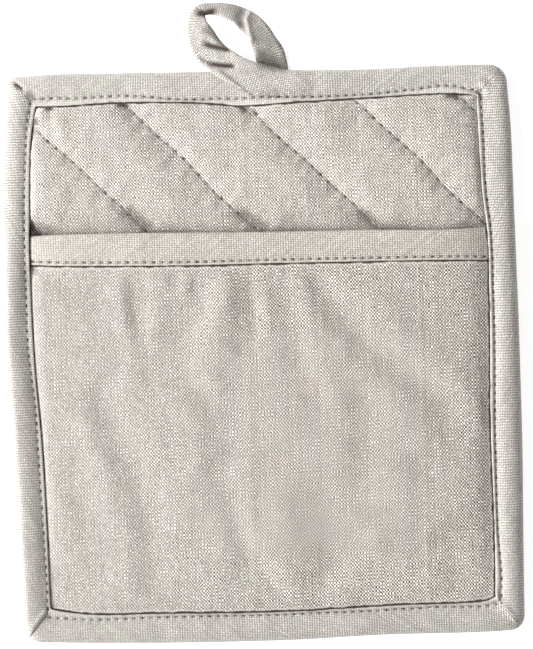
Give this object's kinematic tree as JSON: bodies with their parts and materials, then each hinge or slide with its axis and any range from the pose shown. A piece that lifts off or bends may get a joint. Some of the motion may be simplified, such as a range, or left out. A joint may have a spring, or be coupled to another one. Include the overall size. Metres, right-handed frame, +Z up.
{
  "type": "pocket pot holder",
  "caption": "Quilted cloth pot holder with a slip pocket across its face, a bound edge with mitred corners and a hanging loop.",
  "frame": {"origin": "on the ground under the middle of the whole length and width, hanging loop included, with the pot holder lying on its back", "axes": "+Z up through the pocket's face, +Y along the length towards the hanging loop, +X across the width"},
  "size_m": [0.2047, 0.254, 0.011],
  "materials": {
    "pad_cloth": "matt plain weave in cream and taupe yarns, quilted",
    "panel_cloth": "matt plain weave in cream and taupe yarns",
    "mouth_tape": "matt plain weave cut on the bias, stitched",
    "edge_tape": "matt plain weave cut on the bias, stitched",
    "loop_tape": "matt plain weave cut on the bias, stitched"
  },
  "bodies": {
    "root": {"quilted_pad": "pad_cloth", "pocket_panel": "panel_cloth", "pocket_binding": "mouth_tape", "edge_binding": "edge_tape", "hanging_loop": "loop_tape"}
  },
  "joints": []
}
